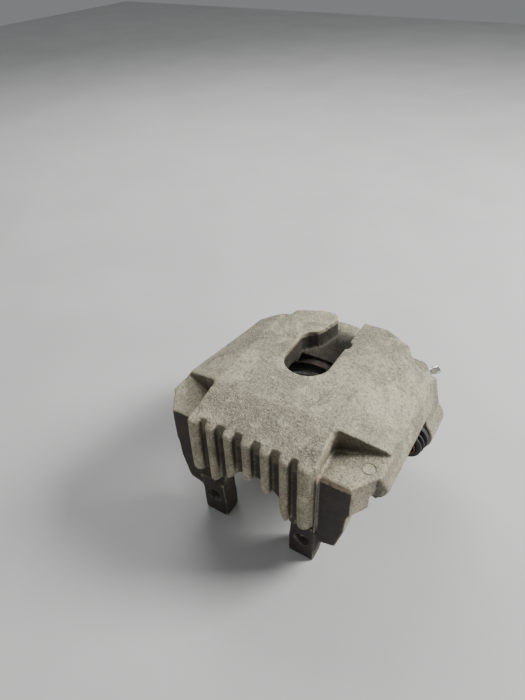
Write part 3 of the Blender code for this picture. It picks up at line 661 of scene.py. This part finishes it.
class CALIPER_OT_housing(bpy.types.Operator):
    """Cast the housing and machine its bores, seats and holes"""

    bl_idname = "caliper.housing"
    bl_label = "Housing"

    def execute(self, context):
        iron, cut = weathered_iron(colours()), machined_iron(colours())
        housing = merged_copy("caliper_housing", "housing_casting")
        boolean(housing, self.lobe_flank(), "UNION")
        boolean(housing, self.core_notch(), "DIFFERENCE")
        for x, foot in SHORT_RIBS:
            for back, bottom in RIB_BACKS:
                low = ((x - 6) * MM, -BEHIND, bottom * MM)
                high = ((x + 6) * MM, back * MM, foot * MM)
                boolean(housing, block("rib_trim", low, high), "DIFFERENCE")
        remesh = housing.modifiers.new("Cast grain", "REMESH")
        remesh.mode = "VOXEL"
        remesh.voxel_size = sizes().cast_grain
        fillet = housing.modifiers.new("Fillet", "SMOOTH")
        fillet.factor = 0.5
        fillet.iterations = sizes().fillet
        apply_modifiers(housing)
        thin = housing.modifiers.new("Thin", "DECIMATE")
        thin.ratio = min(1.0, HOUSING_TRIANGLES / (2 * len(housing.data.polygons)))
        apply_modifiers(housing)
        roughen(housing, 7 * MM, sizes().skin_roughness)
        roughen(housing, 1.7 * MM, sizes().skin_roughness * 0.5)
        apply_modifiers(housing)
        for tool in self.tools():
            boolean(housing, tool, "DIFFERENCE", "MANIFOLD")
        if not housing.data.polygons:
            raise RuntimeError("the housing's cuts left nothing")
        give(housing, iron, cut)
        machined = self.machined_faces(housing)
        housing.data.polygons.foreach_set("material_index", machined.astype(np.int32))
        smooth_shade(housing, 40)
        fit_to_frame(housing, "housing", ["caliper_housing"])
        return {"FINISHED"}

    def lobe_flank(self):
        """The swelling that carries the right lobe's top down into the flank."""
        front, level = [(42, 9, 103.6)], 104.35
        top = [(44, 20, level), (52, 29, level)]
        back = [(52, 49.5, level), (47, 49.5, level)]
        side = [(57, 2, 95.8), (69, 16, 90.2), (70, 42, 89.8), (64, 50, 92.5), (57, 56.5, 95)]
        foot = [(x, y, 84) for x, y, _ in front + side + back]
        points = front + top + back + side + foot
        start_clear()
        bpy.ops.mesh.primitive_cube_add(size=10 * MM, location=(55 * MM, 30 * MM, 92 * MM))
        piece = named("lobe_flank")
        settle(piece)
        open_for_edit(piece)
        bpy.ops.mesh.select_all(action="SELECT")
        bpy.ops.mesh.delete(type="ONLY_FACE")
        bpy.ops.mesh.subdivide(number_cuts=1)
        close_edit()
        places = points_of(piece)
        for i in range(len(places)):
            places[i] = [v * MM for v in points[i % len(points)]]
        move_points(piece, places)
        open_for_edit(piece)
        join_points()
        bpy.ops.mesh.convex_hull()
        bpy.ops.mesh.normals_make_consistent(inside=False)
        close_edit()
        return piece

    def core_notch(self):
        """The small gap that the core left in the valley's right edge."""
        foot, top = (NOTCH_X, NOTCH_Y, NOTCH_Z), (NOTCH_X, NOTCH_Y, ABOVE)
        notch = rod("core_notch", foot, top, 2.8 * MM, 24)
        select_only(notch)
        bpy.ops.transform.resize(value=(1, 1.5, 1), center_override=(NOTCH_X, NOTCH_Y, 100 * MM))
        settle(notch)
        return notch

    def ring_mark(self):
        """The shallow ring that an ejector left on the right shoulder."""
        start_clear()
        bpy.ops.mesh.primitive_torus_add(
            location=(64.7 * MM, -46 * MM, 85.9 * MM),
            major_segments=40,
            minor_segments=8,
            major_radius=4 * MM,
            minor_radius=0.6 * MM,
        )
        piece = named("ring_mark")
        settle(piece)
        return piece

    def bores(self):
        """Every bore along y: x, z, radius, low and high y."""
        x, z = BORE_AXIS.x, BORE_AXIS.z
        front, seat = MOUTH_Y - 6 * MM, MOUTH_Y + 6 * MM
        seal_middle = (SEAL_LOW.y + SEAL_HIGH.y) / 2
        seal_front, seal_back = seal_middle - SEAL_GROOVE_HALF, seal_middle + SEAL_GROOVE_HALF
        ring_radius = (RING_HIGH.x - RING_LOW.x) / 2
        seal_radius = (SEAL_HIGH.x - SEAL_LOW.x) / 2
        rows = [
            (x, z, PISTON_RADIUS + BORE_ROOM, front, BORE_END_Y),
            (x, z, ring_radius + BORE_ROOM, front, seat),
            (x, z, seal_radius + BORE_ROOM, seal_front, seal_back),
            (0.0, PORT_Z, PORT_RADIUS, PORT_END_Y, BEHIND),
            (0.0, PORT_Z, PORT_SEAT_RADIUS, PORT_SEAT_Y, BEHIND),
        ]
        for side, sign in (("right", 1), ("left", -1)):
            low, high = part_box("guide_pin_" + side)
            x, z = (low.x + high.x) / 2, (low.z + high.z) / 2
            rows.append((x, z, GUIDE_RADIUS, 20 * MM, 60 * MM))
            rows.append((x, z, GUIDE_SEAT_RADIUS, EAR_BACK_Y, 60 * MM))
            rows.append((x, z, GUIDE_SEAT_RADIUS, 20 * MM, EAR_FRONT_Y))
            rows.append((sign * LUG_HOLE_X, LUG_HOLE_Z, LUG_HOLE_RADIUS, -75 * MM, -45 * MM))
        return rows

    def tools(self):
        """Every cutter, in the order of the cuts."""
        made = [self.ring_mark()]
        for x, z, radius, low, high in self.bores():
            sides = 96 if radius > 20 * MM else 48
            made.append(rod("bore_tool", (x, low, z), (x, high, z), radius, sides))
        for sign in (1, -1):
            floor = (sign * SPOT_FACE_X, SPOT_FACE_Y, SPOT_FACE_Z)
            top = (sign * SPOT_FACE_X, SPOT_FACE_Y, ABOVE)
            made.append(rod("spot_face_tool", floor, top, SPOT_FACE_RADIUS, 64))
            inner, outer = sorted((sign * 24 * MM, sign * 62 * MM))
            low, high = (inner, PAD_SEAT_Y, -5 * MM), (outer, -46 * MM, 62 * MM)
            made.append(block("pad_seat_tool", low, high))
        deep, out = BLEED_SEAT - 12 * MM * BLEED_WAY, BLEED_SEAT + 4 * MM * BLEED_WAY
        made.append(rod("bleed_tool", deep, out, 3.6 * MM, 32))
        sunk, clear = BLEED_SEAT - 0.3 * MM * BLEED_WAY, BLEED_SEAT + 8 * MM * BLEED_WAY
        made.append(rod("bleed_seat_tool", sunk, clear, 9 * MM, 48))
        return made

    def machined_faces(self, housing):
        """Which faces a cutter has left: the bores and their ends, the pad seats and the mouth."""
        middles, normals = face_middles(housing), face_normals(housing)
        depth = middles[:, 1]
        found = np.zeros(len(middles), bool)
        for x, z, radius, low, high in self.bores():
            reach = np.hypot(middles[:, 0] - x, middles[:, 2] - z)
            along = (depth > low - MM) & (depth < high + MM)
            found |= (np.abs(reach - radius) < 0.12 * MM) & along
            for end in (low, high):
                found |= (reach < radius) & (np.abs(depth - end) < CUT_NEAR)
        pad_seat = (np.abs(depth - PAD_SEAT_Y) < CUT_NEAR) & (normals[:, 1] > 0.95)
        mouth = (np.abs(depth - MOUTH_Y) < 0.9 * MM) & (normals[:, 1] < -0.8)
        mouth &= np.hypot(middles[:, 0], middles[:, 2] - BORE_AXIS.z) < 36 * MM
        return found | pad_seat | mouth


class CALIPER_OT_piston(bpy.types.Operator):
    """Turn the hollow piston and fit its square seal"""

    bl_idname = "caliper.piston"
    bl_label = "Piston and seal"

    def execute(self, context):
        c = colours()
        brushed = (1, 14, 1)
        ground = steel("piston_steel", c.piston, c.piston_dark, 0.25, brushed, c.rust_dark, 0.02)
        length = PISTON_HIGH.y - PISTON_LOW.y
        radius, inside = PISTON_RADIUS, PISTON_RADIUS - 4.2 * MM
        groove, crown = radius - 1.6 * MM, length - 6 * MM
        profile = [
            (0, length),
            (4 * MM, length),
            (4.6 * MM, length - 0.8 * MM),
            (radius - 7 * MM, length - 0.8 * MM),
            (radius - 6 * MM, length),
            (radius - 1.5 * MM, length),
            (radius, length - 1.5 * MM),
            (radius, 5.5 * MM),
            (groove, 5.5 * MM),
            (groove, 2.5 * MM),
            (radius, 2.5 * MM),
            (radius, 1 * MM),
            (radius - 1 * MM, 0),
            (inside + 0.8 * MM, 0),
            (inside, 0.8 * MM),
            (inside, 9 * MM),
            (inside - 0.7 * MM, 10 * MM),
            (inside - 0.7 * MM, crown - 4 * MM),
            (inside - 4 * MM, crown),
            (7 * MM, crown),
            (5 * MM, crown + 1.6 * MM),
            (0, crown + 1.6 * MM),
        ]
        place = (BORE_AXIS.x, PISTON_LOW.y, BORE_AXIS.z)
        piston = turned("piston_cup", profile, place, INBOARD, 128, 0.3 * MM)
        give(piston, ground)
        smooth_shade(piston)
        fit_to_frame(piston, "piston", ["piston"])
        rubber = black_rubber(c)
        outer = (SEAL_HIGH.x - SEAL_LOW.x) / 2
        inner = PISTON_RADIUS + BORE_ROOM
        depth = SEAL_HIGH.y - SEAL_LOW.y
        ring = [(outer, depth), (outer, 0), (inner, 0.15 * MM), (inner, depth - 0.15 * MM)]
        place = (BORE_AXIS.x, SEAL_LOW.y, BORE_AXIS.z)
        seal = turned("square_seal", ring, place, INBOARD, 128, 0.25 * MM, closed=True)
        give(seal, rubber)
        smooth_shade(seal)
        fit_to_frame(seal, "housing", ["piston_seal"])
        return {"FINISHED"}


class CALIPER_OT_boot(bpy.types.Operator):
    """Fold the dust boot and press in its retaining ring"""

    bl_idname = "caliper.boot"
    bl_label = "Dust boot"

    def execute(self, context):
        c = colours()
        rubber = black_rubber(c)
        lip = PISTON_RADIUS + 0.25 * MM
        bead = (BOOT_HIGH.x - BOOT_LOW.x) / 2 - 0.6 * MM
        wall, fold = 0.7 * MM, sizes().boot_fold
        depth = RING_HIGH.y - MOUTH_Y
        front = BOOT_LOW.y - MOUTH_Y
        outer = [(bead, depth), (bead, 0.4 * MM)]
        inner = []
        folds = 3
        for i in range(folds * 8 + 1):
            share = i / (folds * 8)
            height = 0.2 * MM + (front + 0.5 * MM) * share
            middle = bead - 0.5 * MM - (bead - lip - wall - 0.9 * MM) * share
            wave = fold * 0.5 * math.cos(share * folds * math.tau)
            outer.append((middle + wave, height))
            inner.append((middle + wave - wall, height))
        outer += [(lip + wall, front + 0.15 * MM), (lip + wall * 0.5, front)]
        inner += [(lip, front + 0.2 * MM)]
        bead_inside = bead - wall - 0.3 * MM
        profile = outer + inner[::-1] + [(bead_inside, 0.6 * MM), (bead_inside, depth)]
        place = (BORE_AXIS.x, MOUTH_Y, BORE_AXIS.z)
        boot = turned("folded_boot", profile, place, INBOARD, 128, closed=True)
        give(boot, rubber)
        smooth_shade(boot, 60)
        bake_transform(boot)
        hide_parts("dust_boot")
        # The retaining ring's steel is dark and rusty: partly rust, partly painted shade, as the
        # ring sits deep in the window.
        dark, rust = c.piston_dark, c.rust_dark
        ring_steel_rust_and_shade = steel("pressed_ring", dark, rust, 0.5, (1, 1, 1), rust, 0.06)
        outer_r = (RING_HIGH.x - RING_LOW.x) / 2
        inner_r = bead + 0.9 * MM
        lip_profile = [
            (outer_r, depth),
            (outer_r, 0.3 * MM),
            (outer_r - 0.4 * MM, 0),
            (inner_r + 0.4 * MM, 0),
            (inner_r, 0.4 * MM),
            (inner_r, depth - 1 * MM),
            (inner_r + 0.45 * MM, depth - 1 * MM),
            (inner_r + 0.45 * MM, 1 * MM),
            (outer_r - 0.5 * MM, 1 * MM),
            (outer_r - 0.5 * MM, depth),
        ]
        ring = turned("pressed_ring", lip_profile, place, INBOARD, 128, 0.1 * MM, closed=True)
        give(ring, ring_steel_rust_and_shade)
        smooth_shade(ring)
        fit_to_frame(ring, "housing", ["boot_retaining_ring"])
        return {"FINISHED"}


class CALIPER_OT_guides(bpy.types.Operator):
    """Mould the guide bushes and turn their sleeves and pins"""

    bl_idname = "caliper.guides"
    bl_label = "Guides"

    def execute(self, context):
        c = colours()
        rubber = black_rubber(c)
        plated = steel("zinc_plate", c.zinc, c.zinc_dull, 0.3, (1, 10, 1), c.rust, 0.0)
        rusty = steel("rusty_steel", c.piston_dark, c.rust_dark, 0.45, (1, 6, 1), c.rust, 0.2)
        for side in ("right", "left"):
            low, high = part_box("guide_pin_" + side)
            axis = Vector(((low.x + high.x) / 2, 0, (low.z + high.z) / 2))
            self.bush(side, axis, rubber)
            self.sleeve(side, axis, rusty)
            self.pin(side, axis, low.y, high.y, plated)
        return {"FINISHED"}

    def bush(self, side, axis, rubber):
        low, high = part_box("guide_bush_" + side)
        radius, flange = 10.5 * MM, (high.x - low.x) / 2
        bore = 7.5 * MM
        ear = 27.5 * MM - low.y - BORE_ROOM
        length = high.y - low.y
        profile = [
            (radius - 0.4 * MM, length),
            (radius - 0.4 * MM, length - 1.5 * MM),
            (radius, length - 2.5 * MM),
            (radius, ear + 1 * MM),
            (radius - 0.5 * MM, ear),
            (flange, ear),
            (flange, ear - 3.6 * MM),
            (flange - 2 * MM, ear - 4.2 * MM),
            (radius - 1.6 * MM, ear - 5 * MM),
            (radius - 1.6 * MM, ear - 5.8 * MM),
            (radius + 1.2 * MM, ear - 6.8 * MM),
            (radius + 1.2 * MM, ear - 8.2 * MM),
            (radius - 1.6 * MM, ear - 9.0 * MM),
            (radius - 1.6 * MM, ear - 9.6 * MM),
            (radius + 0.4 * MM, ear - 10.4 * MM),
            (radius + 0.4 * MM, 1 * MM),
            (radius - 0.8 * MM, 0),
            (bore + 0.4 * MM, 0),
            (bore, 0.5 * MM),
            (bore, length - 0.5 * MM),
            (bore + 0.4 * MM, length),
        ]
        place = (axis.x, low.y, axis.z)
        piece = turned("bush_" + side, profile, place, INBOARD, 72, 0.35 * MM, closed=True)
        give(piece, rubber)
        smooth_shade(piece, 60)
        fit_to_frame(piece, "housing", ["guide_bush_" + side])

    def sleeve(self, side, axis, rusty):
        low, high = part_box("guide_sleeve_" + side)
        outer, bore = 7.2 * MM, 6.1 * MM
        length = high.y - low.y
        profile = [
            (outer - 0.3 * MM, length),
            (outer, length - 0.4 * MM),
            (outer, 0.4 * MM),
            (outer - 0.3 * MM, 0),
            (bore + 0.3 * MM, 0),
            (bore, 0.4 * MM),
            (bore, length - 0.4 * MM),
            (bore + 0.3 * MM, length),
        ]
        place = (axis.x, low.y, axis.z)
        piece = turned("sleeve_" + side, profile, place, INBOARD, 64, 0.1 * MM, closed=True)
        give(piece, rusty)
        smooth_shade(piece)
        fit_to_frame(piece, "housing", ["guide_sleeve_" + side])

    def pin(self, side, axis, low, high, plated):
        length, shoulder = high - low, 14.5 * MM
        radius, core = 5.8 * MM, 4.4 * MM
        profile = [(0, length), (radius - 0.9 * MM, length), (radius, length - 0.9 * MM)]
        profile += [(radius, shoulder + 0.5 * MM), (radius - 0.5 * MM, shoulder), (core, shoulder)]
        profile += stepped((core, shoulder - 0.2 * MM), (core, 1.2 * MM), 84)
        profile += [(core, 1.2 * MM), (core - 1 * MM, 0), (0, 0)]
        place = (axis.x, low, axis.z)
        piece = turned("pin_" + side, profile, place, INBOARD, 48)
        pitch = sizes().thread_pitch
        cut_thread(piece, place, INBOARD, 0.8 * MM, shoulder - 1 * MM, core, pitch, 0.62 * MM)
        deep, out = (axis.x, high - 7 * MM, axis.z), (axis.x, high + 3 * MM, axis.z)
        boolean(piece, rod("socket_tool", deep, out, 3.9 * MM, 6), "DIFFERENCE")
        mouth = turned(
            "mouth_tool",
            [(0, 3 * MM), (6.6 * MM, 3 * MM), (3.3 * MM, -0.3 * MM), (0, -0.3 * MM)],
            (axis.x, high - 0.3 * MM, axis.z),
            INBOARD,
            48,
        )
        boolean(piece, mouth, "DIFFERENCE")
        give(piece, plated)
        smooth_shade(piece)
        fit_to_frame(piece, "pin_" + side, ["guide_pin_" + side])


class CALIPER_OT_bleeder(bpy.types.Operator):
    """Turn the bleed screw, with its hexagon, hose barb and passage"""

    bl_idname = "caliper.bleeder"
    bl_label = "Bleed screw"

    def execute(self, context):
        c = colours()
        plated = steel("bleeder_zinc", c.zinc, c.zinc_dull, 0.22, (1, 1, 1), c.rust, -0.05)
        seat, way = BLEED_SEAT, BLEED_WAY
        shank, tip, end = 3.2 * MM, 3.1 * MM, 17 * MM
        profile = [
            (0, end),
            (tip - 0.7 * MM, end),
            (tip - 0.15 * MM, end - 0.5 * MM),
            (tip, end - 1.3 * MM),
            (tip, end - 4.6 * MM),
            (tip - 0.5 * MM, end - 5.6 * MM),
            (tip - 0.6 * MM, 9.4 * MM),
            (tip - 0.1 * MM, 8.4 * MM),
            (shank, 8 * MM),
            (shank, 0.5 * MM),
        ]
        profile += stepped((shank, 0.3 * MM), (shank, -8.6 * MM), 60)
        profile += [(shank, -8.6 * MM), (0.6 * MM, -11 * MM), (0, -11 * MM)]
        screw = turned("bleed_nipple", profile, seat, way, 48)
        cut_thread(screw, seat, way, -8.6 * MM, 0.2 * MM, shank, 1.0 * MM, 0.5 * MM)
        hexagon = rod("hexagon", seat + 2 * MM * way, seat + 8 * MM * way, 5.2 * MM, 6)
        open_for_edit(hexagon)
        bpy.ops.mesh.select_all(action="SELECT")
        bpy.ops.mesh.bevel(offset=0.35 * MM, segments=3, affect="EDGES")
        close_edit()
        boolean(screw, hexagon, "UNION")
        passage = rod("passage_tool", seat + 3 * MM * way, seat + 20 * MM * way, 1.2 * MM, 24)
        boolean(screw, passage, "DIFFERENCE")
        give(screw, plated)
        smooth_shade(screw)
        fit_to_frame(screw, "bleeder", ["bleed_screw"])
        return {"FINISHED"}


class CALIPER_OT_stage(bpy.types.Operator):
    """Set the floor, the soft lights and the camera"""

    bl_idname = "caliper.stage"
    bl_label = "Stage"

    def execute(self, context):
        self.floor()
        self.light("Key", (0.82, 0.62, 0.85), (0, 0, 0.06), 0.45, 25.5)
        self.light("Back fill", (-0.6, 0.6, 0.9), (0, 0, 0.05), 0.6, 7)
        self.light("Front fill", (-0.2, -0.9, 0.55), (0, 0, 0.05), 0.8, 1.2)
        world = bpy.data.worlds.new("Studio")
        world.use_nodes = True
        world.node_tree.nodes["Background"].inputs["Color"].default_value = (0.95, 0.97, 1.0, 1)
        world.node_tree.nodes["Background"].inputs["Strength"].default_value = 0.22
        context.scene.world = world
        self.camera(context)
        return {"FINISHED"}

    def floor(self):
        start_clear()
        bpy.ops.mesh.primitive_plane_add(size=4, location=(0, 0, -0.1 * MM))
        floor = named("studio_floor")
        settle(floor)
        finish = Finish("pale_floor", 0.75, 0.0)
        tone = finish.noise(120 * MM, 4, 0.5)
        base = colours().floor
        finish.colour(finish.mix(finish.ramp(tone, 0.3, 0.7), base, [0.93 * v for v in base]))
        give(floor, finish.material)

    def light(self, name, place, aim, size, power):
        start_clear()
        bpy.ops.object.light_add(type="AREA", location=place)
        lamp = named(name)
        lamp.data.size = size
        lamp.data.energy = power
        lamp.rotation_euler = (Vector(aim) - Vector(place)).to_track_quat("-Z", "Y").to_euler()

    def camera(self, context):
        start_clear()
        bpy.ops.object.camera_add()
        camera = named("Camera")
        camera.data.sensor_fit = "HORIZONTAL"
        camera.data.sensor_width = 36
        camera.data.lens = CAMERA_LENS
        camera.data.clip_start = 0.01
        turn = Matrix((CAMERA_RIGHT, CAMERA_UP, CAMERA_BACK)).transposed()
        camera.matrix_world = Matrix.Translation(CAMERA_PLACE) @ turn.to_4x4()
        context.scene.camera = camera


STEPS = (
    CALIPER_OT_stage,
    CALIPER_OT_housing,
    CALIPER_OT_piston,
    CALIPER_OT_boot,
    CALIPER_OT_guides,
    CALIPER_OT_bleeder,
)


class CALIPER_PT_panel(bpy.types.Panel):
    """The caliper's steps, in the order in which they are built"""

    bl_idname = "CALIPER_PT_panel"
    bl_label = "Brake caliper"
    bl_space_type = "VIEW_3D"
    bl_region_type = "UI"
    bl_category = "Caliper"

    def draw(self, context):
        for step in STEPS:
            self.layout.operator(step.bl_idname)
        for group in (context.scene.caliper_sizes, context.scene.caliper_colours):
            for name in group.__annotations__:
                self.layout.prop(group, name)


CLASSES = (CaliperSizes, CaliperColours, *STEPS, CALIPER_PT_panel)


def register():
    for cls in CLASSES:
        bpy.utils.register_class(cls)
    bpy.types.Scene.caliper_sizes = bpy.props.PointerProperty(type=CaliperSizes)
    bpy.types.Scene.caliper_colours = bpy.props.PointerProperty(type=CaliperColours)


def unregister():
    del bpy.types.Scene.caliper_sizes
    del bpy.types.Scene.caliper_colours
    for cls in reversed(CLASSES):
        bpy.utils.unregister_class(cls)


def main():
    register()
    for step in STEPS:
        group, name = step.bl_idname.split(".")
        getattr(getattr(bpy.ops, group), name)()


if __name__ == "__main__":
    main()
